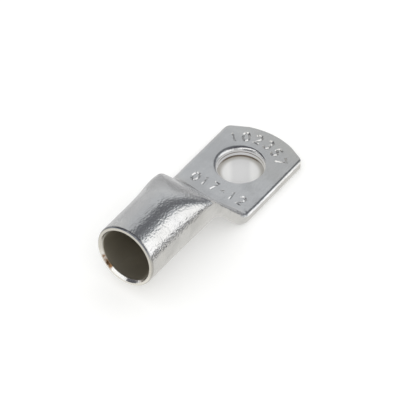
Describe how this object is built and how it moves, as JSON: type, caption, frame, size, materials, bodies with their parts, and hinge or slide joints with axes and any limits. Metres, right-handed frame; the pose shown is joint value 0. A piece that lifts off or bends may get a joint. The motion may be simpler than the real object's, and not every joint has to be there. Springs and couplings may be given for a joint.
{
  "type": "copper cable lug",
  "caption": "Tin-plated copper tube lug: a round barrel is crimped on a cable, and a flat offset palm with a hole is bolted to a stud.",
  "frame": {"origin": "centre of the stud hole on the contact face", "axes": "+X along the tube towards the palm's tip, +Z out of the palm's upper face, along the stud"},
  "size_m": [0.0764, 0.0285, 0.0242],
  "materials": {
    "tinned_copper": "bright tin plating over copper, lightly scratched"
  },
  "bodies": {
    "root": {"cable_lug": "tinned_copper"}
  },
  "joints": []
}
